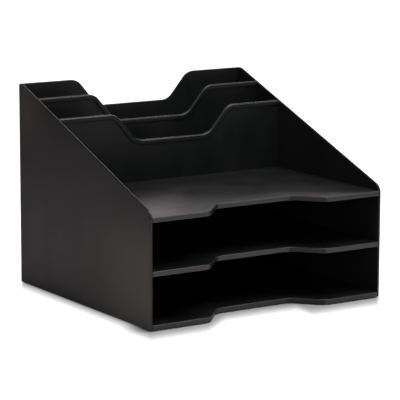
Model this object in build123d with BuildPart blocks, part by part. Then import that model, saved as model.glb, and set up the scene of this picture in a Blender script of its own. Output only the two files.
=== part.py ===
from build123d import *
import os

# Desk sorter with two open trays below and two upright slots behind a small top shelf.
#
# X runs across the front, Y from the front to the back, Z is up. The origin lies on the ground in
# the middle of the footprint. All sizes are in millimetres. Every piece is a satin black moulding,
# apart from the rubber feet. The boards and uprights have tongues that are bonded into stopped
# housings in the side panels, the back panel and the top shelf.

# ---- Overall size -----------------------------------------------------------------------------
width = 320.0                   # over the outer faces of the side panels
depth = 300.0                   # front edge to back edge of the side panels
height = 245.0                  # ground to the top of the back

# ---- Side panels ------------------------------------------------------------------------------
side_thickness = 3.0
front_edge_height = 134.3       # where the line of the sloped edge crosses the front edge
top_flat = 8.0                  # level stretch behind the slope, before the back edge
front_corner_radius = 12.0      # between the front edge and the slope
slope_end_radius = 14.0         # between the slope and the level stretch
back_corner_radius = 2.0
bottom_corner_radius = 1.5
outer_edge_round = 1.0          # all round the outer face
inner_edge_round = 0.9          # along the front and sloped edges of the inner face

# ---- Boards: bottom board, middle shelf and top shelf -----------------------------------------
bay_height = 55.0               # clear height of each tray
board_height = 6.0              # height of the rim that is seen from the front
skin_thickness = 2.5            # the flat top of a board
rim_thickness = 2.6             # the rim round the hollow underside
rib_thickness = 1.8             # stiffening ribs across the underside
rib_count_across = 4            # ribs that run from front to back
rib_count_along = 2             # ribs that run from side to side
board_top_round = 1.4           # front edge, above
board_bottom_round = 0.8        # front edge, below

# ---- Finger notches ---------------------------------------------------------------------------
notch_mouth_width = 160.0       # between the sharp corners, before they are rounded
notch_floor_width = 102.4
notch_radius = 20.0
board_notch_depth = 32.6
upright_notch_depth = 33.8

# ---- Uprights: front divider, middle divider and back panel -----------------------------------
rear_slot_depth = 39.4          # clear, between the back panel and the middle divider
front_slot_depth = 46.5         # clear, between the two dividers
divider_thickness = 2.5
bead_thickness = 5.5            # rounded bead along the top edge of a divider
bead_height = 6.0
bead_top_round = 2.65
bead_foot_round = 1.0
back_panel_thickness = 2.5
back_edge_round = 1.1
round_share = 0.49              # the most of a wall that a round along its edge may take
cove_share = 0.9                # the most of a bead's overhang that the cove below it may take

# ---- Tongues and housings ---------------------------------------------------------------------
housing_depth = 1.2
fit_gap = 0.1                   # round each tongue, filled by the bond
board_tongue_thickness = 2.4
upright_tongue_thickness = 1.5
housing_stop = 8.0              # how far a housing ends short of an edge that is seen

# ---- Rubber feet ------------------------------------------------------------------------------
foot_stand_off = 1.0            # how far a foot holds the panels off the ground
foot_diameter = 12.0
foot_recess_depth = 0.8
foot_inset = 18.0               # centre of a foot from the inner faces of the panels
foot_edge_round = 0.4
foot_pad_wall = 2.0             # round the recess of a foot

# ---- Sizes that follow ------------------------------------------------------------------------
inner_half = width / 2 - side_thickness
front_y = -depth / 2
back_y = depth / 2
back_inner_y = back_y - back_panel_thickness
slope = (height - front_edge_height) / (depth - top_flat)
middle_divider_y = back_inner_y - rear_slot_depth - divider_thickness / 2
front_divider_y = middle_divider_y - front_slot_depth - divider_thickness
tongue_length = housing_depth - fit_gap
board_tops = [
    foot_stand_off + board_height + level * (board_height + bay_height) for level in range(3)
]
bottom_board_top, middle_shelf_top, top_shelf_top = board_tops
board_housing_height = board_tongue_thickness + 2 * fit_gap
upright_housing_width = upright_tongue_thickness + 2 * fit_gap
foot_x = inner_half - foot_inset
foot_front_y = front_y + foot_inset
foot_back_y = back_inner_y - foot_inset
tolerance = 0.01


def slope_height(y):
    """Return the height of the sloped edge of the side panels at depth y."""
    return front_edge_height + slope * (y - front_y)


def notched_plate(half_width, plain_edge, notched_edge, notch_depth):
    """Return a rectangle with a finger notch, which opens in one of its two level edges."""
    inward = 1 if plain_edge > notched_edge else -1
    notch_floor = notched_edge + inward * notch_depth
    with BuildSketch() as plate:
        with BuildLine():
            Polyline(
                (-half_width, plain_edge),
                (-half_width, notched_edge),
                (-notch_mouth_width / 2, notched_edge),
                (-notch_floor_width / 2, notch_floor),
                (notch_floor_width / 2, notch_floor),
                (notch_mouth_width / 2, notched_edge),
                (half_width, notched_edge),
                (half_width, plain_edge),
                close=True,
            )
        make_face()
        notch_corners = plate.vertices().filter_by_position(
            Axis.X, tolerance - half_width, half_width - tolerance
        )
        fillet(notch_corners, notch_radius)
    return plate.sketch


def at(edges_found, axis, place):
    """Return those of the edges that lie at one place along an axis."""
    return edges_found.filter_by_position(axis, place - tolerance, place + tolerance)


def board_body(top):
    """Add a board with its top face at the given height, hollow below and ribbed."""
    bottom = top - board_height
    notch_floor_y = front_y + board_notch_depth
    with BuildSketch(Plane.XY.offset(bottom)) as plan:
        add(notched_plate(inner_half, back_inner_y, front_y, board_notch_depth))
    extrude(plan.sketch, amount=board_height)

    for level, radius in ((top, board_top_round), (bottom, board_bottom_round)):
        front_edges = edges().filter_by_position(
            Axis.Y, front_y - tolerance, notch_floor_y + tolerance
        )
        fillet(at(front_edges, Axis.Z, level), radius)

    with BuildSketch(Plane.XY.offset(bottom)) as hollow:
        add(notched_plate(inner_half, back_inner_y, front_y, board_notch_depth))
        offset(amount=-rim_thickness, mode=Mode.REPLACE)
        with Locations((0, (front_y + back_inner_y) / 2)):
            with GridLocations(2 * inner_half / (rib_count_across + 1), 0, rib_count_across, 1):
                Rectangle(rib_thickness, depth, mode=Mode.SUBTRACT)
            with GridLocations(0, depth / (rib_count_along + 1), 1, rib_count_along):
                Rectangle(width, rib_thickness, mode=Mode.SUBTRACT)
    extrude(hollow.sketch, amount=board_height - skin_thickness, mode=Mode.SUBTRACT)

    side_tongue_span = back_inner_y - front_y - housing_stop
    with BuildSketch(Plane.XY.offset(bottom + board_height / 2)) as tongues:
        with Locations((0, back_inner_y - side_tongue_span / 2)):
            with GridLocations(2 * inner_half + tongue_length, 0, 2, 1):
                Rectangle(tongue_length, side_tongue_span)
        with Locations((0, back_inner_y + tongue_length / 2)):
            Rectangle(2 * (inner_half - housing_stop), tongue_length)
    extrude(tongues.sketch, amount=board_tongue_thickness / 2, both=True)


def divider_body(y):
    """Add an upright divider that stands on the top shelf, with a bead along its notched top."""
    ridge = slope_height(y)
    with BuildSketch(Plane.XZ.offset(-y)) as outline:
        add(notched_plate(inner_half, top_shelf_top, ridge, upright_notch_depth))
    extrude(outline.sketch, amount=bead_thickness / 2, both=True)

    bead_faces = (y - bead_thickness / 2, y + bead_thickness / 2)
    for face_y in bead_faces:
        top_edges = edges().filter_by_position(
            Axis.Z, ridge - upright_notch_depth - tolerance, ridge + tolerance
        )
        fillet(at(top_edges, Axis.Y, face_y), min(bead_top_round, round_share * bead_thickness))

    cheek = (bead_thickness - divider_thickness) / 2
    for face_y, cut in zip(bead_faces, (-cheek, cheek)):
        with BuildSketch(Plane.XZ.offset(-face_y)) as below_bead:
            add(
                notched_plate(
                    inner_half + bead_height,
                    top_shelf_top - bead_height,
                    ridge,
                    upright_notch_depth,
                )
            )
            offset(amount=-bead_height, mode=Mode.REPLACE)
        extrude(below_bead.sketch, amount=cut, mode=Mode.SUBTRACT)
        bead_foot = at(edges(Select.LAST), Axis.Y, face_y).filter_by_position(
            Axis.X, tolerance - inner_half, inner_half - tolerance
        )
        fillet(bead_foot, min(bead_foot_round, cove_share * cheek))


def divider_tongues(y):
    """Add the tongues along both ends and the foot of a divider."""
    low = top_shelf_top + fit_gap
    high = slope_height(y) - housing_stop - fit_gap
    with BuildSketch(Plane.XZ.offset(-y)) as tongues:
        with Locations((0, (low + high) / 2)):
            with GridLocations(2 * inner_half + tongue_length, 0, 2, 1):
                Rectangle(tongue_length, high - low)
        with Locations((0, top_shelf_top - tongue_length / 2)):
            Rectangle(2 * (inner_half - housing_stop), tongue_length)
    extrude(tongues.sketch, amount=upright_tongue_thickness / 2, both=True)


os.makedirs("parts", exist_ok=True)

# ---- Side panels ------------------------------------------------------------------------------
with BuildPart() as left_side_panel:
    with BuildSketch(Plane.YZ.offset(-width / 2)) as side_outline:
        with BuildLine():
            Polyline(
                (front_y, foot_stand_off),
                (back_y, foot_stand_off),
                (back_y, height),
                (back_y - top_flat, height),
                (front_y, front_edge_height),
                close=True,
            )
        make_face()
        # In the plane of the sketch, X runs to the back and Y runs up.
        fillet(side_outline.vertices().group_by(Axis.X)[0].sort_by(Axis.Y)[-1], front_corner_radius)
        fillet(side_outline.vertices().group_by(Axis.Y)[-1].sort_by(Axis.X)[0], slope_end_radius)
        fillet(side_outline.vertices().group_by(Axis.Y)[-1].sort_by(Axis.X)[-1], back_corner_radius)
        fillet(side_outline.vertices().group_by(Axis.Y)[0], bottom_corner_radius)
    extrude(amount=side_thickness)

    outer_face = left_side_panel.faces().sort_by(Axis.X)[0]
    fillet(outer_face.edges(), outer_edge_round)
    inner_face = left_side_panel.faces().sort_by(Axis.X)[-1]
    seen_edges = inner_face.edges().filter_by(
        lambda edge: edge.center().Y < back_y - top_flat
        and edge.center().Z > foot_stand_off + bottom_corner_radius
    )
    fillet(seen_edges, inner_edge_round)

    with BuildSketch(Plane.YZ.offset(-inner_half)):
        board_housing_span = back_inner_y - front_y - housing_stop + fit_gap
        for board_top in board_tops:
            with Locations((back_inner_y - board_housing_span / 2, board_top - board_height / 2)):
                Rectangle(board_housing_span, board_housing_height)
        for divider_y in (front_divider_y, middle_divider_y):
            housing_top = slope_height(divider_y) - housing_stop
            with Locations((divider_y, (top_shelf_top + housing_top) / 2)):
                Rectangle(upright_housing_width, housing_top - top_shelf_top)
        with Locations((back_y, height / 2)):
            Rectangle(2 * (back_panel_thickness + fit_gap), 2 * height)
    extrude(amount=-housing_depth, mode=Mode.SUBTRACT)
left_side_panel.part.label = "left_side_panel"
export_step(left_side_panel.part, "parts/left_side_panel.step")

with BuildPart() as right_side_panel:
    mirror(left_side_panel.part, about=Plane.YZ)
right_side_panel.part.label = "right_side_panel"
export_step(right_side_panel.part, "parts/right_side_panel.step")

# ---- Back panel -------------------------------------------------------------------------------
with BuildPart() as back_panel:
    with BuildSketch(Plane.XZ.offset(-back_y)):
        add(notched_plate(inner_half + tongue_length, foot_stand_off, height, upright_notch_depth))
    extrude(amount=back_panel_thickness)
    for face_y in (back_inner_y, back_y):
        top_edges = back_panel.edges().filter_by_position(
            Axis.Z, height - upright_notch_depth - tolerance, height + tolerance
        )
        fillet(
            at(top_edges, Axis.Y, face_y), min(back_edge_round, round_share * back_panel_thickness)
        )

    with BuildSketch(Plane.XZ.offset(-back_inner_y)):
        for board_top in board_tops:
            with Locations((0, board_top - board_height / 2)):
                Rectangle(2 * (inner_half - housing_stop + fit_gap), board_housing_height)
    extrude(amount=-housing_depth, mode=Mode.SUBTRACT)
back_panel.part.label = "back_panel"
export_step(back_panel.part, "parts/back_panel.step")

# ---- Boards -----------------------------------------------------------------------------------
with BuildPart() as bottom_board:
    board_body(bottom_board_top)
    foot_places = [(x, y) for x in (-foot_x, foot_x) for y in (foot_front_y, foot_back_y)]
    with BuildSketch(Plane.XY.offset(foot_stand_off)):
        with Locations(*foot_places):
            Circle(foot_diameter / 2 + fit_gap + foot_pad_wall)
    extrude(amount=board_height - skin_thickness)
    with BuildSketch(Plane.XY.offset(foot_stand_off)):
        with Locations(*foot_places):
            Circle(foot_diameter / 2 + fit_gap)
    extrude(amount=foot_recess_depth, mode=Mode.SUBTRACT)
bottom_board.part.label = "bottom_board"
export_step(bottom_board.part, "parts/bottom_board.step")

with BuildPart() as middle_shelf:
    board_body(middle_shelf_top)
middle_shelf.part.label = "middle_shelf"
export_step(middle_shelf.part, "parts/middle_shelf.step")

with BuildPart() as top_shelf:
    board_body(top_shelf_top)
    with BuildSketch(Plane.XY.offset(top_shelf_top)):
        with Locations((0, front_divider_y), (0, middle_divider_y)):
            Rectangle(2 * (inner_half - housing_stop + fit_gap), upright_housing_width)
    extrude(amount=-housing_depth, mode=Mode.SUBTRACT)
top_shelf.part.label = "top_shelf"
export_step(top_shelf.part, "parts/top_shelf.step")

# ---- Dividers ---------------------------------------------------------------------------------
with BuildPart() as front_divider:
    divider_body(front_divider_y)
    divider_tongues(front_divider_y)
front_divider.part.label = "front_divider"
export_step(front_divider.part, "parts/front_divider.step")

with BuildPart() as middle_divider:
    divider_body(middle_divider_y)
    divider_tongues(middle_divider_y)
middle_divider.part.label = "middle_divider"
export_step(middle_divider.part, "parts/middle_divider.step")

# ---- Feet -------------------------------------------------------------------------------------
foot_centres = {
    "front_left_foot": (-foot_x, foot_front_y),
    "front_right_foot": (foot_x, foot_front_y),
    "back_left_foot": (-foot_x, foot_back_y),
    "back_right_foot": (foot_x, foot_back_y),
}
for foot_name, foot_centre in foot_centres.items():
    with BuildPart() as foot:
        with BuildSketch(Plane.XY):
            with Locations(foot_centre):
                Circle(foot_diameter / 2)
        extrude(amount=foot_stand_off + foot_recess_depth)
        fillet(foot.edges().group_by(Axis.Z)[0], foot_edge_round)
    foot.part.label = foot_name
    export_step(foot.part, f"parts/{foot_name}.step")
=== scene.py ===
import logging
import math
from dataclasses import dataclass, field
from enum import Enum
from typing import Any, Optional

import bpy
from mathutils import Matrix, Vector


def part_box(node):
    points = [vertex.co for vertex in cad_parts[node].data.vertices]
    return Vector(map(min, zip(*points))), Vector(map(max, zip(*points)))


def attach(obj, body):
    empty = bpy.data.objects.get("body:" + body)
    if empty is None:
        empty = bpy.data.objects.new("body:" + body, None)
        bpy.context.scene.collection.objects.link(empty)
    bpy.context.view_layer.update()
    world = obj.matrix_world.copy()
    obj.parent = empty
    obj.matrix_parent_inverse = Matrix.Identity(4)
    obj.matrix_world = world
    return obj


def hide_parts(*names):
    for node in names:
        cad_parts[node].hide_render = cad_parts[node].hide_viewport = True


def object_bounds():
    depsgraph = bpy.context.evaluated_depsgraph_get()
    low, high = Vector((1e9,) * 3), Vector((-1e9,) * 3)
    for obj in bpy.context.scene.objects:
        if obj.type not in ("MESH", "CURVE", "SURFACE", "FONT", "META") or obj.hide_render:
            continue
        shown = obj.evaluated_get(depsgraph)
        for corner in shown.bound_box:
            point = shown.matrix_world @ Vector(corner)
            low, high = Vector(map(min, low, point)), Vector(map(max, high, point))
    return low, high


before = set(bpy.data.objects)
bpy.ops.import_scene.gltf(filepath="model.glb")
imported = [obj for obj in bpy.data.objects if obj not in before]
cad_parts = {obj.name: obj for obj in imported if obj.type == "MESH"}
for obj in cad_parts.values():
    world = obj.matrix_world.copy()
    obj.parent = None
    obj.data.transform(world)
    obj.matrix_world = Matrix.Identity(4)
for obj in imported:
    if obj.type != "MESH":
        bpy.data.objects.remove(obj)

# Looks of a desk sorter: two open trays below, and two upright slots behind a small top shelf.
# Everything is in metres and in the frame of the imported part: X across the front, Y to the back, Z up.

log = logging.getLogger("desk_sorter")
CAD_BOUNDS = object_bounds()
MM = 0.001


class Slot(Enum):
    """The material slots of the part's record."""

    PLASTIC = "satin_black_plastic"
    RUBBER = "black_rubber"


class NodeTree:
    """A thin wrapper that adds nodes to a tree and links them by socket."""

    def __init__(self, tree: bpy.types.NodeTree) -> None:
        """Start from an emptied tree.

        Args:
            tree: The node tree to build in.
        """
        self.tree = tree
        self.tree.nodes.clear()

    def add(self, kind: str, inputs: Optional[dict[Any, Any]] = None, **settings: Any) -> bpy.types.Node:
        """Add one node.

        Args:
            kind: The node's type, such as "ShaderNodeBump".
            inputs: Input sockets by name or index. A socket as value is linked, anything else is set.
            settings: Properties of the node itself.

        Returns:
            The new node.
        """
        node = self.tree.nodes.new(kind)
        for name, value in settings.items():
            setattr(node, name, value)
        for name, value in (inputs or {}).items():
            if isinstance(value, bpy.types.NodeSocket):
                self.tree.links.new(value, node.inputs[name])
            else:
                node.inputs[name].default_value = value
        return node

    def math(self, operation: str, *values: Any) -> bpy.types.NodeSocket:
        """Add a math node.

        Args:
            operation: What it works out.
            values: Its numbers or sockets, in order.

        Returns:
            The result's socket.
        """
        return self.add("ShaderNodeMath", dict(enumerate(values)), operation=operation).outputs[0]

    def step(
        self,
        value: bpy.types.NodeSocket,
        start: float,
        end: float,
        before: float = 0.0,
        after: float = 1.0,
        smooth: bool = True,
    ) -> bpy.types.NodeSocket:
        """Add a step between two marks, past which the result holds.

        Args:
            value: The value that drives it.
            start: The value where the step begins.
            end: The value where it ends.
            before: The result up to the start.
            after: The result from the end on.
            smooth: Whether the step eases in and out, or is a straight ramp.

        Returns:
            The result's socket.
        """
        return self.add(
            "ShaderNodeMapRange",
            {"Value": value, "From Min": start, "From Max": end, "To Min": before, "To Max": after},
            interpolation_type="SMOOTHSTEP" if smooth else "LINEAR",
        ).outputs["Result"]

    def mix(self, factor: bpy.types.NodeSocket, first: Any, second: Any) -> bpy.types.NodeSocket:
        """Add a mix of two colours.

        Args:
            factor: The share of the second colour.
            first: The first colour, as three numbers or a socket.
            second: The second colour, as three numbers or a socket.

        Returns:
            The mixed colour's socket.
        """
        mixed = self.add("ShaderNodeMix", data_type="RGBA")
        sockets = [socket for socket in mixed.inputs if socket.enabled]
        for socket, value in zip(sockets, (factor, first, second)):
            if isinstance(value, bpy.types.NodeSocket):
                self.tree.links.new(value, socket)
            else:
                socket.default_value = (*value, 1.0)
        return next(socket for socket in mixed.outputs if socket.enabled)


class GeometryRecipe:
    """A Geometry Nodes tree with named inputs, and the plain mesh that it ends in."""

    def __init__(self, name: str) -> None:
        """Start an empty tree.

        Args:
            name: The tree's name, and the finished piece's.
        """
        self.name = name
        self.graph = NodeTree(bpy.data.node_groups.new(name, "GeometryNodeTree"))
        self.tree = self.graph.tree
        self.tree.interface.new_socket("Geometry", in_out="OUTPUT", socket_type="NodeSocketGeometry")
        self.given = self.graph.add("NodeGroupInput")
        self.values: dict[str, Any] = {}

    def take(self, name: str, kind: str, value: Any) -> bpy.types.NodeSocket:
        """Add a named input.

        Args:
            name: The input's name.
            kind: Its kind: "Float", "Int", "Vector" or "Material".
            value: What it is set to on the finished piece.

        Returns:
            The socket that carries it inside the tree.
        """
        socket = self.tree.interface.new_socket(name, in_out="INPUT", socket_type=f"NodeSocket{kind}")
        self.values[socket.identifier] = value
        return self.given.outputs[name]

    def finish(self, geometry: bpy.types.NodeSocket, finish: bpy.types.NodeSocket) -> bpy.types.Object:
        """End the tree, run it and keep its result as a plain mesh.

        Args:
            geometry: The geometry that the tree has made.
            finish: The input that carries the material.

        Returns:
            The finished piece at the origin, with no modifier left.
        """
        real = self.graph.add("GeometryNodeRealizeInstances", {0: geometry}).outputs[0]
        dressed = self.graph.add("GeometryNodeSetMaterial", {0: real, "Material": finish}).outputs[0]
        self.graph.add("NodeGroupOutput", {0: dressed})
        piece = bpy.data.objects.new(self.name, bpy.data.meshes.new(f"{self.name}_start"))
        bpy.context.scene.collection.objects.link(piece)
        modifier = piece.modifiers.new(self.name, "NODES")
        modifier.node_group = self.tree
        for identifier, value in self.values.items():
            modifier[identifier] = value
        evaluated = piece.evaluated_get(bpy.context.evaluated_depsgraph_get())
        mesh = bpy.data.meshes.new_from_object(evaluated)
        piece.modifiers.remove(modifier)
        piece.data = mesh
        mesh.name = self.name
        return piece


# ---- Finishes ---------------------------------------------------------------------------------


@dataclass(frozen=True)
class Noise:
    """A soft random pattern: the size of its blots, its detail and how harsh that is."""

    size: float
    detail: float
    harshness: float

    def pattern(self, graph: NodeTree, place: bpy.types.NodeSocket) -> bpy.types.NodeSocket:
        """Add the pattern.

        Args:
            graph: The tree to add it to.
            place: The surface point's place.

        Returns:
            The pattern's socket, from 0 to 1.
        """
        return graph.add(
            "ShaderNodeTexNoise",
            {"Vector": place, "Scale": 1 / self.size, "Detail": self.detail, "Roughness": self.harshness},
        ).outputs["Fac"]


@dataclass(frozen=True)
class PaintedSheenPatch:
    """A patch of painted sheen on a side panel: where it begins and is full, along Y and Z."""

    deep_from: float
    deep_full: float
    high_from: float
    high_full: float

    def mask(
        self, graph: NodeTree, y: bpy.types.NodeSocket, z: bpy.types.NodeSocket
    ) -> bpy.types.NodeSocket:
        """Add the mask of the place.

        Args:
            graph: The tree to add it to.
            y: How far back the surface point lies.
            z: How high it lies.

        Returns:
            The mask's socket.
        """
        deep = graph.step(y, self.deep_from, self.deep_full)
        high = graph.step(z, self.high_from, self.high_full)
        return graph.math("MULTIPLY", deep, high)


@dataclass(frozen=True)
class WearAndPaintedLight:
    """Painted light on a moulding and how smooth its rounds are, each share from 0, not at all, to 1.

    The first two shares set the painted highlight on its front faces and on its rounded edges, polish is
    how smooth the rounds are, and the last share sets the painted sheen on a side panel. Level tops count
    as rounds only if it says so.
    """

    painted_rim_highlight: float = 0.0
    rounds: float = 0.0
    level_tops: bool = False
    polish: float = 1.0
    painted_panel_sheen: float = 0.0


@dataclass(frozen=True)
class SatinPlastic:
    """Black moulded plastic with a fine eroded texture and burnished edges, with a painted highlight on
    front faces and rounded edges and a painted sheen on the side panels.
    """

    base: tuple[float, float, float] = (0.0074, 0.0084, 0.0086)
    scuffed: tuple[float, float, float] = (0.0106, 0.0114, 0.0116)
    # Colour of the painted highlight on front faces and rounded edges.
    painted_rim_highlight: tuple[float, float, float] = (0.078, 0.079, 0.086)
    # Colour of the painted sheen on the side panels' outer faces.
    painted_sheen_colour: tuple[float, float, float] = (0.046, 0.038, 0.035)
    specular_tint: tuple[float, float, float] = (1.0, 0.74, 0.69)
    specular_level: float = 0.34
    roughness: float = 0.38
    roughness_swing: float = 0.06
    burnish: float = 0.12
    edge_radius: float = 0.9 * MM
    edge_samples: int = 4
    edge_from: float = 0.995
    edge_full: float = 0.85
    rim_from: float = 0.88
    rim_full: float = 0.97
    lean_from: float = 0.15
    lean_full: float = 0.45
    level_from: float = 0.72
    level_full: float = 0.92
    aside_from: float = 0.25
    aside_full: float = 0.65
    # Where the painted sheen lies on a side panel: at its lower front and upper back.
    front_sheen_patch: PaintedSheenPatch = PaintedSheenPatch(deep_from=0.010, deep_full=-0.110, high_from=0.140, high_full=0.080)
    back_sheen_patch: PaintedSheenPatch = PaintedSheenPatch(deep_from=0.070, deep_full=0.140, high_from=0.150, high_full=0.220)
    sheen_least: float = 0.75
    outer_full: float = 0.12
    grain: Noise = Noise(size=0.35 * MM, detail=2.0, harshness=0.5)
    grain_depth: float = 0.008 * MM
    wave: Noise = Noise(size=30 * MM, detail=1.0, harshness=0.4)
    wave_depth: float = 0.07 * MM
    smudge: Noise = Noise(size=38 * MM, detail=5.0, harshness=0.62)
    smudge_upright: float = 0.35
    smudge_low: float = 0.3
    smudge_high: float = 0.7
    scuff_from: float = 0.35
    scuff_full: float = 0.75

    def material(self, name: str, offset: Vector, wear_and_painted_light: WearAndPaintedLight, warmth: float) -> bpy.types.Material:
        """Build the finish for one piece.

        Args:
            name: The material's name.
            offset: Shift of the pattern, so that no two mouldings carry the same one.
            wear_and_painted_light: How smooth the piece's rounds are, and where light is painted on it.
            warmth: How warm its gloss is, from 0, neutral, to 1.

        Returns:
            The material.
        """
        made = bpy.data.materials.new(name)
        made.use_nodes = True
        made.diffuse_color = (*self.base, 1.0)
        graph = NodeTree(made.node_tree)
        spot = graph.add("ShaderNodeTexCoord").outputs["Object"]
        place = graph.add("ShaderNodeMapping", {"Vector": spot, "Location": offset}).outputs["Vector"]
        drawn = graph.add(
            "ShaderNodeMapping", {"Vector": place, "Scale": (1.0, 1.0, self.smudge_upright)}
        ).outputs["Vector"]
        smudges = self.smudge.pattern(graph, drawn)
        # Painted highlight: front faces and rounded edges are paler, where light catches them; pale is
        # its mask.
        pale, smooth = self._painted_light_and_polish_masks(graph, wear_and_painted_light)
        colour = self._plain_colour(graph, spot, smudges, wear_and_painted_light)
        tint = tuple(1.0 + warmth * (share - 1.0) for share in self.specular_tint)
        surface = graph.add(
            "ShaderNodeBsdfPrincipled",
            {
                "Base Color": graph.mix(pale, colour, self.painted_rim_highlight),
                "Roughness": self._dullness(graph, smudges, smooth),
                "Specular IOR Level": self.specular_level,
                "Specular Tint": (*tint, 1.0),
                "Normal": self._texture(graph, place),
            },
        )
        graph.add("ShaderNodeOutputMaterial", {"Surface": surface.outputs["BSDF"]})
        return made

    def _plain_colour(
        self, graph: NodeTree, spot: bpy.types.NodeSocket, smudges: bpy.types.NodeSocket, wear_and_painted_light: WearAndPaintedLight
    ) -> bpy.types.NodeSocket:
        """Add the colour of the broad faces: black with faint scuffs, and a painted sheen on a side
        panel's outer face.

        Args:
            graph: The tree to add it to.
            spot: The surface point's place in the frame.
            smudges: The smudges' pattern.
            wear_and_painted_light: How much painted sheen the piece gets.

        Returns:
            The colour's socket.
        """
        scuffs = graph.step(smudges, self.scuff_from, self.scuff_full, smooth=False)
        colour = graph.mix(scuffs, self.base, self.scuffed)
        # Painted sheen: the outer face of a side panel is paler at its lower front and upper back.
        if wear_and_painted_light.painted_panel_sheen > 0:
            colour = graph.mix(self._painted_sheen_mask(graph, spot, smudges, wear_and_painted_light.painted_panel_sheen), colour, self.painted_sheen_colour)
        return colour

    def _dullness(
        self, graph: NodeTree, smudges: bpy.types.NodeSocket, smooth: bpy.types.NodeSocket
    ) -> bpy.types.NodeSocket:
        """Add the roughness, which varies with the smudges and is less on edges and smooth places.

        Args:
            graph: The tree to add it to.
            smudges: The smudges' pattern.
            smooth: The mask of the places that are rubbed smooth.

        Returns:
            The roughness's socket.
        """
        least, most = self.roughness - self.roughness_swing, self.roughness + self.roughness_swing
        dull = graph.step(smudges, self.smudge_low, self.smudge_high, least, most, smooth=False)
        polished = graph.math("MAXIMUM", self._edge_mask(graph), smooth)
        return graph.math("MULTIPLY_ADD", polished, -self.burnish, dull)

    def _texture(self, graph: NodeTree, place: bpy.types.NodeSocket) -> bpy.types.NodeSocket:
        """Add the bumps: a slight waviness of the moulding under its fine grain.

        Args:
            graph: The tree to add it to.
            place: The surface point's place in the piece's own cut of the pattern.

        Returns:
            The normal's socket.
        """
        waved = graph.add(
            "ShaderNodeBump",
            {"Height": self.wave.pattern(graph, place), "Distance": self.wave_depth, "Strength": 1.0},
        ).outputs["Normal"]
        return graph.add(
            "ShaderNodeBump",
            {
                "Height": self.grain.pattern(graph, place),
                "Distance": self.grain_depth,
                "Strength": 1.0,
                "Normal": waved,
            },
        ).outputs["Normal"]

    def _edge_mask(self, graph: NodeTree) -> bpy.types.NodeSocket:
        """Add a mask that is 1 along the edges of a moulding and 0 on its faces.

        Args:
            graph: The tree to add it to.

        Returns:
            The mask's socket.
        """
        rounded = graph.add(
            "ShaderNodeBevel", {"Radius": self.edge_radius}, samples=self.edge_samples
        ).outputs["Normal"]
        true_normal = graph.add("ShaderNodeNewGeometry").outputs["Normal"]
        facing = graph.add(
            "ShaderNodeVectorMath", {0: rounded, 1: true_normal}, operation="DOT_PRODUCT"
        ).outputs["Value"]
        return graph.step(facing, self.edge_from, self.edge_full, smooth=False)

    def _painted_light_and_polish_masks(
        self, graph: NodeTree, wear_and_painted_light: WearAndPaintedLight
    ) -> tuple[bpy.types.NodeSocket, bpy.types.NodeSocket]:
        """Add the masks of a moulding's painted highlight and of its smooth rounds, told by which way the
        surface faces.

        Args:
            graph: The tree to add them to.
            wear_and_painted_light: How strong each painted highlight is, and how smooth the rounds are.

        Returns:
            The socket of the painted highlight, and the socket of the smooth places.
        """
        normal = graph.add("ShaderNodeTexCoord").outputs["Normal"]
        sides = graph.add("ShaderNodeSeparateXYZ", {"Vector": normal}).outputs
        # Painted highlight: front faces, and rounded edges below, are marked paler; the rounds are also
        # made smoother.
        painted_rim_highlight = graph.step(sides["Y"], -self.rim_from, -self.rim_full, 0.0, wear_and_painted_light.painted_rim_highlight)
        lean = graph.math("ABSOLUTE", sides["Z"])
        aside = graph.math("ABSOLUTE", sides["X"])
        leaning = graph.step(lean, self.lean_from, self.lean_full)
        straight = graph.step(aside, self.aside_from, self.aside_full, 1.0, 0.0)
        rounds = graph.math("MULTIPLY", leaning, straight)
        if not wear_and_painted_light.level_tops:
            tilted = graph.step(lean, self.level_from, self.level_full, 1.0, 0.0)
            rounds = graph.math("MULTIPLY", rounds, tilted)
        pale = graph.math("MULTIPLY_ADD", rounds, wear_and_painted_light.rounds, painted_rim_highlight)
        return pale, graph.math("MULTIPLY", rounds, wear_and_painted_light.polish)

    def _painted_sheen_mask(
        self,
        graph: NodeTree,
        spot: bpy.types.NodeSocket,
        smudges: bpy.types.NodeSocket,
        share: float,
    ) -> bpy.types.NodeSocket:
        """Add the mask of the painted sheen on the outer face of a side panel, at its lower front and
        upper back.

        Args:
            graph: The tree to add it to.
            spot: The surface point's place in the frame.
            smudges: The smudges' pattern, which breaks the painted sheen up.
            share: The mask's highest value.

        Returns:
            The mask's socket.
        """
        split = graph.add("ShaderNodeSeparateXYZ", {"Vector": spot}).outputs
        front = self.front_sheen_patch.mask(graph, split["Y"], split["Z"])
        back = self.back_sheen_patch.mask(graph, split["Y"], split["Z"])
        in_sheen_patch = graph.math("MAXIMUM", front, back)
        uneven = graph.step(smudges, self.smudge_low, self.smudge_high, self.sheen_least * share, share)
        normal = graph.add("ShaderNodeTexCoord").outputs["Normal"]
        facing = graph.add("ShaderNodeSeparateXYZ", {"Vector": normal}).outputs["X"]
        outer = graph.step(graph.math("MULTIPLY", facing, split["X"]), 0.0, self.outer_full)
        return graph.math("MULTIPLY", graph.math("MULTIPLY", in_sheen_patch, uneven), outer)


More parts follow.
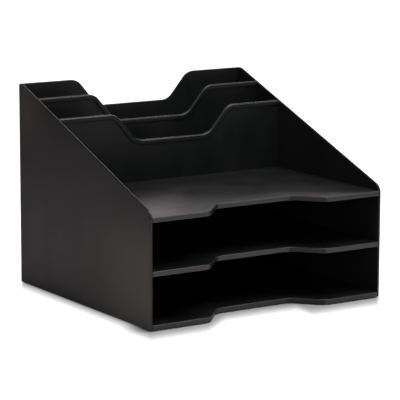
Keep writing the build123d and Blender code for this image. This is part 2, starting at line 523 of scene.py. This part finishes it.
@dataclass(frozen=True)
class MattRubber:
    """Soft black rubber of the feet."""

    base: tuple[float, float, float] = (0.010, 0.010, 0.0105)
    dusty: tuple[float, float, float] = (0.022, 0.021, 0.020)
    roughness: float = 0.82
    specular_level: float = 0.35
    speck: Noise = Noise(size=0.6 * MM, detail=3.0, harshness=0.6)
    speck_depth: float = 0.03 * MM

    def material(self, name: str) -> bpy.types.Material:
        """Build the finish.

        Args:
            name: The material's name.

        Returns:
            The material.
        """
        made = bpy.data.materials.new(name)
        made.use_nodes = True
        made.diffuse_color = (*self.base, 1.0)
        graph = NodeTree(made.node_tree)
        specks = self.speck.pattern(graph, graph.add("ShaderNodeTexCoord").outputs["Object"])
        normal = graph.add(
            "ShaderNodeBump", {"Height": specks, "Distance": self.speck_depth, "Strength": 1.0}
        ).outputs["Normal"]
        surface = graph.add(
            "ShaderNodeBsdfPrincipled",
            {
                "Base Color": graph.mix(specks, self.base, self.dusty),
                "Roughness": self.roughness,
                "Specular IOR Level": self.specular_level,
                "Normal": normal,
            },
        )
        graph.add("ShaderNodeOutputMaterial", {"Surface": surface.outputs["BSDF"]})
        return made


# ---- The object -------------------------------------------------------------------------------


@dataclass(frozen=True)
class Moulding:
    """One moulding of the case: its node, its painted light and smooth rounds, and how warm its gloss is.
    """

    node: str
    wear_and_painted_light: WearAndPaintedLight
    warmth: float


@dataclass
class Case:
    """The bonded case: side panels, back panel, boards and dividers, as they come from the frame."""

    plastic: SatinPlastic = field(default_factory=SatinPlastic)
    mouldings: tuple[Moulding, ...] = (
        Moulding("left_side_panel", WearAndPaintedLight(painted_rim_highlight=0.3, rounds=0.4, painted_panel_sheen=1.0), warmth=0.9),
        Moulding("right_side_panel", WearAndPaintedLight(painted_rim_highlight=0.3, rounds=0.4, painted_panel_sheen=0.8), warmth=0.9),
        Moulding("back_panel", WearAndPaintedLight(), warmth=0.2),
        Moulding("bottom_board", WearAndPaintedLight(painted_rim_highlight=0.55, rounds=0.8), warmth=0.7),
        Moulding("middle_shelf", WearAndPaintedLight(painted_rim_highlight=0.65, rounds=0.8), warmth=0.7),
        Moulding("top_shelf", WearAndPaintedLight(painted_rim_highlight=0.55, rounds=0.9), warmth=0.7),
        Moulding("front_divider", WearAndPaintedLight(rounds=0.15, level_tops=True, polish=0.8), warmth=0.1),
        Moulding("middle_divider", WearAndPaintedLight(level_tops=True, polish=0.0), warmth=0.1),
    )
    pattern_step: float = 0.37

    def dress(self) -> None:
        """Give each moulding of the frame its own cut of the satin finish."""
        for number, moulding in enumerate(self.mouldings):
            offset = Vector((number, 2 * number, 3 * number)) * self.pattern_step
            finish = self.plastic.material(
                f"satin_black_{moulding.node}", offset, moulding.wear_and_painted_light, moulding.warmth
            )
            dress_node(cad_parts[moulding.node], finish)
            log.info("%s: dressed in %s", moulding.node, Slot.PLASTIC.value)


@dataclass
class Feet:
    """Four turned rubber feet in the recesses below the bottom board, with a treaded sole."""

    rubber: MattRubber = field(default_factory=MattRubber)
    front_left: str = "front_left_foot"
    front_right: str = "front_right_foot"
    back_left: str = "back_left_foot"
    back_right: str = "back_right_foot"
    sides: int = 40
    rows: int = 41
    sole_end: float = 0.70
    round_end: float = 0.85
    wall_end: float = 0.90
    edge_round: float = 0.40 * MM
    tread_rings: int = 3
    tread_depth: float = 0.25 * MM
    weld: float = 0.001 * MM
    sharp_angle: float = math.radians(60)

    def build(self) -> bpy.types.Object:
        """Turn one foot, place it four times and put it in the frame.

        Returns:
            The piece that stands for the four feet.
        """
        low, high = (Vector(corner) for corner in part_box(self.front_left))
        far_low, far_high = (Vector(corner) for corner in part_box(self.back_right))
        near, far = (low + high) / 2, (far_low + far_high) / 2
        middle = Vector(((near.x + far.x) / 2, (near.y + far.y) / 2, low.z))
        recipe = GeometryRecipe("rubber_feet")
        radius = recipe.take("Radius", "Float", (high.x - low.x) / 2)
        height = recipe.take("Height", "Float", high.z - low.z)
        foot = self._turned_foot(recipe, radius, height)
        places = recipe.graph.add(
            "GeometryNodeMeshGrid",
            {
                "Size X": recipe.take("Spacing Across", "Float", far.x - near.x),
                "Size Y": recipe.take("Spacing Deep", "Float", far.y - near.y),
                "Vertices X": 2,
                "Vertices Y": 2,
            },
        ).outputs["Mesh"]
        centred = recipe.graph.add(
            "GeometryNodeTransform",
            {"Geometry": places, "Translation": recipe.take("Centre", "Vector", middle)},
        ).outputs["Geometry"]
        placed = recipe.graph.add(
            "GeometryNodeInstanceOnPoints", {"Points": centred, "Instance": foot}
        ).outputs["Instances"]
        finish = recipe.take("Finish", "Material", self.rubber.material("matt_black_rubber"))
        piece = recipe.finish(placed, finish)
        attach(piece, "root")
        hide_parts(self.front_left, self.front_right, self.back_left, self.back_right)
        log.info("%s: four feet, %d faces", piece.name, len(piece.data.polygons))
        return piece

    def _turned_foot(
        self, recipe: GeometryRecipe, radius: bpy.types.NodeSocket, height: bpy.types.NodeSocket
    ) -> bpy.types.NodeSocket:
        """Turn a foot's profile about its axis: the treaded sole, the round, the wall and the top.

        Args:
            recipe: The tree to add it to.
            radius: The foot's radius.
            height: The foot's height.

        Returns:
            The socket of the closed foot, which stands on the origin.
        """
        graph, math_of = recipe.graph, recipe.graph.math
        edge = recipe.take("Edge Round", "Float", self.edge_round)
        rings = recipe.take("Tread Rings", "Int", self.tread_rings)
        depth = recipe.take("Tread Depth", "Float", self.tread_depth)
        sides = recipe.take("Sides", "Int", self.sides)
        sheet = graph.add(
            "GeometryNodeMeshGrid",
            {
                "Size X": 1.0,
                "Size Y": 1.0,
                "Vertices X": math_of("ADD", sides, 1.0),
                "Vertices Y": self.rows,
            },
        ).outputs["Mesh"]
        # The sheet measures one by one: its X goes round the foot, and its Y along the profile.
        place = graph.add("GeometryNodeInputPosition").outputs["Position"]
        spot = graph.add("ShaderNodeSeparateXYZ", {"Vector": place}).outputs
        turn = math_of("MULTIPLY", math_of("ADD", spot["X"], 0.5), 2 * math.pi)
        along = math_of("ADD", spot["Y"], 0.5)
        sole = graph.step(along, 0.0, self.sole_end, smooth=False)
        bend = graph.step(along, self.sole_end, self.round_end, smooth=False)
        wall = graph.step(along, self.round_end, self.wall_end, smooth=False)
        top = graph.step(along, self.wall_end, 1.0, smooth=False)

        rounded = math_of("MULTIPLY", bend, math.pi / 2)
        flat = math_of("MULTIPLY", sole, math_of("SUBTRACT", radius, edge))
        bulge = math_of("MULTIPLY_ADD", math_of("SINE", rounded), edge, flat)
        reach = math_of("SUBTRACT", bulge, math_of("MULTIPLY", top, radius))
        wave = math_of("COSINE", math_of("MULTIPLY", math_of("MULTIPLY", sole, rings), 2 * math.pi))
        tread = math_of("MULTIPLY", math_of("MULTIPLY_ADD", wave, -0.5, 0.5), depth)
        lift = math_of("MULTIPLY", math_of("SUBTRACT", 1.0, math_of("COSINE", rounded)), edge)
        rise = math_of("MULTIPLY_ADD", wall, math_of("SUBTRACT", height, edge), lift)
        turned = graph.add(
            "ShaderNodeCombineXYZ",
            {
                "X": math_of("MULTIPLY", reach, math_of("COSINE", turn)),
                "Y": math_of("MULTIPLY", reach, math_of("SINE", turn)),
                "Z": math_of("ADD", tread, rise),
            },
        ).outputs["Vector"]
        shaped = graph.add("GeometryNodeSetPosition", {"Geometry": sheet, "Position": turned}).outputs[0]
        closed = graph.add("GeometryNodeMergeByDistance", {0: shaped, "Distance": self.weld}).outputs[0]
        smooth = graph.add("GeometryNodeSetShadeSmooth", {0: closed}, domain="FACE").outputs[0]
        angle = graph.add("GeometryNodeInputMeshEdgeAngle").outputs["Unsigned Angle"]
        sharp = math_of("GREATER_THAN", angle, self.sharp_angle)
        return graph.add(
            "GeometryNodeSetShadeSmooth",
            {0: smooth, "Selection": sharp, "Shade Smooth": False},
            domain="EDGE",
        ).outputs[0]


def dress_node(node: bpy.types.Object, finish: bpy.types.Material) -> None:
    """Put a finish on a node of the frame.

    Args:
        node: The node's object.
        finish: The material for its surface.
    """
    if not node.material_slots:
        node.data.materials.append(finish)
    for slot in node.material_slots:
        slot.material = finish


# ---- Camera and studio ------------------------------------------------------------------------


@dataclass(frozen=True)
class StillCamera:
    """The camera, a long lens in front of the left front corner and a little above it."""

    place: tuple[float, float, float] = (-1.38254, -2.11900, 0.57538)
    azimuth: float = -33.1822
    elevation: float = 10.4180
    roll: float = 0.1766
    lens: float = 193.362
    sensor: float = 36.0
    nearest: float = 0.05
    farthest: float = 60.0

    def build(self) -> bpy.types.Object:
        """Make the camera and set it as the scene's.

        Returns:
            The camera's object.
        """
        data = bpy.data.cameras.new("still_camera")
        data.lens = self.lens
        data.sensor_width = self.sensor
        data.clip_start = self.nearest
        data.clip_end = self.farthest
        camera = bpy.data.objects.new("still_camera", data)
        bpy.context.scene.collection.objects.link(camera)
        turn = math.radians(self.azimuth)
        tilt = math.radians(self.elevation)
        back = Vector(
            (math.sin(turn) * math.cos(tilt), -math.cos(turn) * math.cos(tilt), math.sin(tilt))
        )
        level = (-back).cross(Vector((0, 0, 1))).normalized()
        rolled = Matrix.Rotation(math.radians(self.roll), 3, back) @ level
        upright = back.cross(rolled)
        axes = Matrix((rolled, upright, back)).transposed().to_4x4()
        camera.matrix_world = Matrix.Translation(self.place) @ axes
        bpy.context.scene.camera = camera
        return camera


@dataclass(frozen=True)
class Softbox:
    """A large square lamp that points at the object."""

    name: str
    place: tuple[float, float, float]
    side: float
    radiance: float
    colour: tuple[float, float, float] = (1.0, 1.0, 1.0)
    aim: tuple[float, float, float] = (0.0, 0.0, 0.1)

    def build(self) -> bpy.types.Object:
        """Make the lamp.

        Returns:
            The lamp's object.
        """
        data = bpy.data.lights.new(self.name, "AREA")
        data.shape = "SQUARE"
        data.size = self.side
        data.color = self.colour
        data.energy = self.radiance * math.pi * self.side**2
        lamp = bpy.data.objects.new(self.name, data)
        bpy.context.scene.collection.objects.link(lamp)
        turned = (Vector(self.place) - Vector(self.aim)).to_track_quat("Z", "Y").to_matrix().to_4x4()
        lamp.matrix_world = Matrix.Translation(self.place) @ turned
        return lamp


@dataclass
class Studio:
    """Plain pale floor, white surround and soft lamps.

    The floor is white to the camera but for a painted shadow: near the footprint its colour is darker
    and its glow is held back, in a band that falls to the front left and fades out a short way from the
    footprint, where the lamps' own shadow shows too. Glosses see the floor and the surround dimmed, and
    the floor most so to the back left, where the room is dark.
    """

    floor_radius: float = 11.0
    floor_sides: int = 96
    # The floor's colour in the painted shadow at the footprint, and its colour away from it.
    painted_shadow_colour: float = 0.50
    floor_colour: float = 0.80
    notch_floor: float = 0.046
    notch_mouth: float = 0.076
    notch_depth: float = 0.033
    shadow_way: tuple[float, float] = (0.547, 0.837)
    side_falloff: float = 1.1
    side_lead: float = 0.028
    side_lead_run: float = 0.055
    end_round: float = 0.006
    miss_falloff: float = 5.0
    shadow_reach: float = 0.084
    gloss_way: tuple[float, float, float] = (0.6, -0.8, 0.0)
    gloss_from: float = -0.3
    gloss_until: float = 0.6
    gloss_least: float = 0.02
    gloss_most: float = 0.22
    surround: float = 0.024
    surround_gloss: float = 0.05
    lamps: tuple[Softbox, ...] = (
        Softbox("overhead_softbox", (0.25, -0.36, 1.40), side=1.1, radiance=4.8),
        Softbox("near_softbox", (-0.35, -0.45, 0.90), side=0.6, radiance=1.2),
        Softbox(
            "back_softbox", (1.36, 1.62, 0.71), side=0.9, radiance=2.35, colour=(1.0, 0.93, 0.91)
        ),
        Softbox("high_back_softbox", (0.79, 1.43, 1.57), side=0.9, radiance=0.95),
        Softbox("low_front_softbox", (-1.67, -1.40, 0.47), side=0.9, radiance=2.8),
    )

    def build(self) -> None:
        """Build the floor, the surround and the lamps."""
        self._build_floor()
        self._build_surround()
        for lamp in self.lamps:
            lamp.build()

    def _build_floor(self) -> None:
        """Make a large round floor at height 0, which keeps the object's shadow and a painted shadow near
        the footprint.
        """
        ring = [
            (
                self.floor_radius * math.cos(2 * math.pi * step / self.floor_sides),
                self.floor_radius * math.sin(2 * math.pi * step / self.floor_sides),
                0.0,
            )
            for step in range(self.floor_sides)
        ]
        mesh = bpy.data.meshes.new("studio_floor")
        mesh.from_pydata(ring, [], [tuple(range(self.floor_sides))])
        floor = bpy.data.objects.new("studio_floor", mesh)
        bpy.context.scene.collection.objects.link(floor)
        mesh.materials.append(self._floor_paint())

    def _floor_paint(self) -> bpy.types.Material:
        """Make the floor's paint: pale and dull, and lifted to white away from the footprint. Near the
        footprint a painted shadow darkens it and holds its glow back.

        Returns:
            The material.
        """
        paint = bpy.data.materials.new("pale_floor")
        paint.use_nodes = True
        graph = NodeTree(paint.node_tree)
        place = graph.add("ShaderNodeTexCoord").outputs["Object"]
        # Painted shadow: near the footprint the floor's colour is darker and its glow held back, fading
        # out over this distance.
        lift = graph.step(self._painted_shadow_distance(graph, place), 0.0, self.shadow_reach)
        colour = graph.mix(lift, (self.painted_shadow_colour,) * 3, (self.floor_colour,) * 3)
        dull = graph.add("ShaderNodeBsdfDiffuse", {"Color": colour}).outputs["BSDF"]
        frontward = graph.add(
            "ShaderNodeVectorMath", {0: place, 1: self.gloss_way}, operation="DOT_PRODUCT"
        ).outputs["Value"]
        mirrored = graph.step(
            frontward, self.gloss_from, self.gloss_until, self.gloss_least, self.gloss_most, smooth=False
        )
        strength = graph.math("MULTIPLY", lift, self._seen_share(graph, mirrored))
        glow = graph.add("ShaderNodeEmission", {"Strength": strength}).outputs["Emission"]
        both = graph.add("ShaderNodeAddShader", {0: dull, 1: glow}).outputs["Shader"]
        graph.add("ShaderNodeOutputMaterial", {"Surface": both})
        return paint

    def _painted_shadow_distance(self, graph: NodeTree, place: bpy.types.NodeSocket) -> bpy.types.NodeSocket:
        """Add how far out in the painted shadow a floor point lies: 0 at the footprint, more as it fades.

        The painted shadow falls to the front left. The way back from a point runs against its fall until
        it meets the footprint. A way that misses the right or back edge counts as much longer.

        Args:
            graph: The tree to add it to.
            place: The point's place.

        Returns:
            The distance's socket.
        """
        half_width, half_depth, _ = CAD_BOUNDS[1]
        way_x, way_y = self.shadow_way
        split = graph.add("ShaderNodeSeparateXYZ", {"Vector": place}).outputs
        x, y = split["X"], split["Y"]
        mid_notch = self.notch_depth / 2 - half_depth
        straight = graph.math("MULTIPLY_ADD", y, -1 / way_y, mid_notch / way_y)
        meeting = graph.math("MULTIPLY_ADD", straight, way_x, x)
        front_edge = graph.step(
            graph.math("ABSOLUTE", meeting),
            self.notch_floor,
            self.notch_mouth,
            self.notch_depth - half_depth,
            -half_depth,
        )
        from_front = graph.math("DIVIDE", graph.math("SUBTRACT", front_edge, y), way_y)
        from_left = graph.math("MULTIPLY_ADD", x, -1 / way_x, -half_width / way_x)
        way = graph.math("MAXIMUM", graph.math("MAXIMUM", from_front, from_left), 0.0)
        right, back = half_width - self.end_round, half_depth - self.end_round
        past_right = graph.math("SUBTRACT", graph.math("MULTIPLY_ADD", way, way_x, x), right)
        past_back = graph.math("SUBTRACT", graph.math("MULTIPLY_ADD", way, way_y, y), back)
        miss = graph.math("MAXIMUM", graph.math("MAXIMUM", past_right, past_back), 0.0)
        lead = graph.step(y, -half_depth, self.side_lead_run - half_depth, 0.0, self.side_lead)
        thinned = graph.math("MULTIPLY_ADD", from_left, self.side_falloff, lead)
        fading = graph.math("MAXIMUM", way, thinned)
        return graph.math("MULTIPLY_ADD", miss, self.miss_falloff, fading)

    @staticmethod
    def _seen_share(graph: NodeTree, mirrored: Any) -> bpy.types.NodeSocket:
        """Add the share of the white that a ray sees: all for the camera, some for glosses, else none.

        Args:
            graph: The tree to add it to.
            mirrored: The share that glosses see, as a number or a socket.

        Returns:
            The share's socket.
        """
        path = graph.add("ShaderNodeLightPath").outputs
        gloss = graph.math("MAXIMUM", path["Is Glossy Ray"], path["Is Transmission Ray"])
        return graph.math("MAXIMUM", path["Is Camera Ray"], graph.math("MULTIPLY", gloss, mirrored))

    def _build_surround(self) -> None:
        """Make the surround: white to the camera, dimmed for glosses, and a dim room for the light."""
        world = bpy.data.worlds.new("white_surround")
        bpy.context.scene.world = world
        world.use_nodes = True
        graph = NodeTree(world.node_tree)
        seen = self._seen_share(graph, self.surround_gloss)
        strength = graph.math("MAXIMUM", seen, self.surround)
        light = graph.add(
            "ShaderNodeBackground", {"Color": (1.0, 1.0, 1.0, 1.0), "Strength": strength}
        ).outputs["Background"]
        graph.add("ShaderNodeOutputWorld", {"Surface": light})


def main() -> None:
    """Build the camera, the studio and the looks of every piece."""
    logging.basicConfig(level=logging.INFO, format="%(name)s: %(message)s")
    bpy.context.scene.view_settings.view_transform = "Standard"
    StillCamera().build()
    Studio().build()
    Case().dress()
    Feet().build()


if __name__ == "__main__":
    main()
